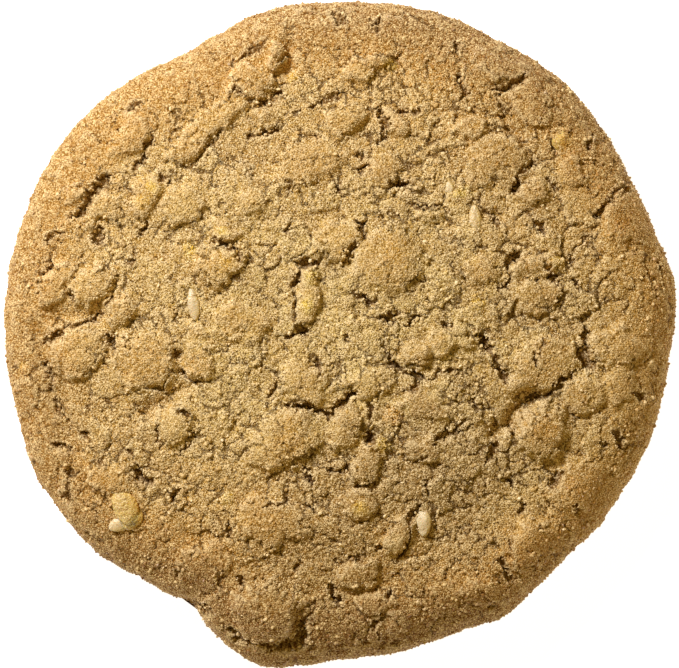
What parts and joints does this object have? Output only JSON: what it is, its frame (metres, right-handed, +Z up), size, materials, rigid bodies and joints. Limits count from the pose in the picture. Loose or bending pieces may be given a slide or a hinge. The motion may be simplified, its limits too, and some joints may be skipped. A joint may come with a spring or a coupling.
{
  "type": "pecan shortbread",
  "caption": "Round golden shortbread biscuit with a cracked, crumbly top, chips of pecan bedded in it, a rounded rim and a flat underside.",
  "frame": {"origin": "middle of the flat underside, in the plane the biscuit rests on", "axes": "+Z up through the thickness, out of the cracked top; +Y to the top of the picture and +X to its right"},
  "size_m": [0.0598, 0.0592, 0.0096],
  "materials": {
    "baked_dough": "dry, matte, sugary crumb, browner on the rim and underside",
    "pecan_chips": "matte cream and yellow nut flesh with toasted edges"
  },
  "bodies": {
    "root": {"shortbread": "baked_dough"}
  },
  "joints": []
}
